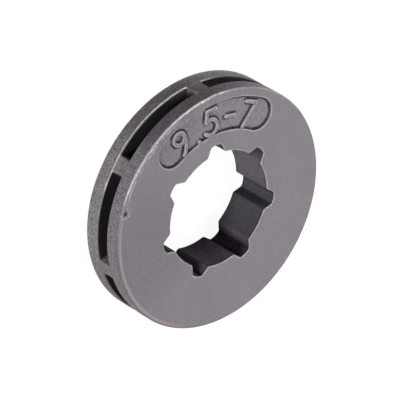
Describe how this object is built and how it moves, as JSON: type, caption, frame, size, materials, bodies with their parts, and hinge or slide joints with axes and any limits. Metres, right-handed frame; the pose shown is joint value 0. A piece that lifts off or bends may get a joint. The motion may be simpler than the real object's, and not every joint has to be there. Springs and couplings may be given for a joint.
{
  "type": "chainsaw rim sprocket",
  "caption": "Round cast steel rim sprocket for a chainsaw, with a splined bore, toothed pockets between its flat rims and a raised size mark.",
  "frame": {"origin": "centre of the bore in the plane of the plain face, which the sprocket lies on", "axes": "+Z along the axis of the bore, from the plain face to the marked face; +Y through the middle of the size mark, in line with a spline groove and a tooth"},
  "size_m": [0.0352, 0.0352, 0.0066],
  "materials": {
    "cast_steel": "grit-blasted cast steel, dull mid grey with a fine grain and edges rubbed bright"
  },
  "bodies": {
    "root": {"rim_sprocket": "cast_steel"}
  },
  "joints": []
}
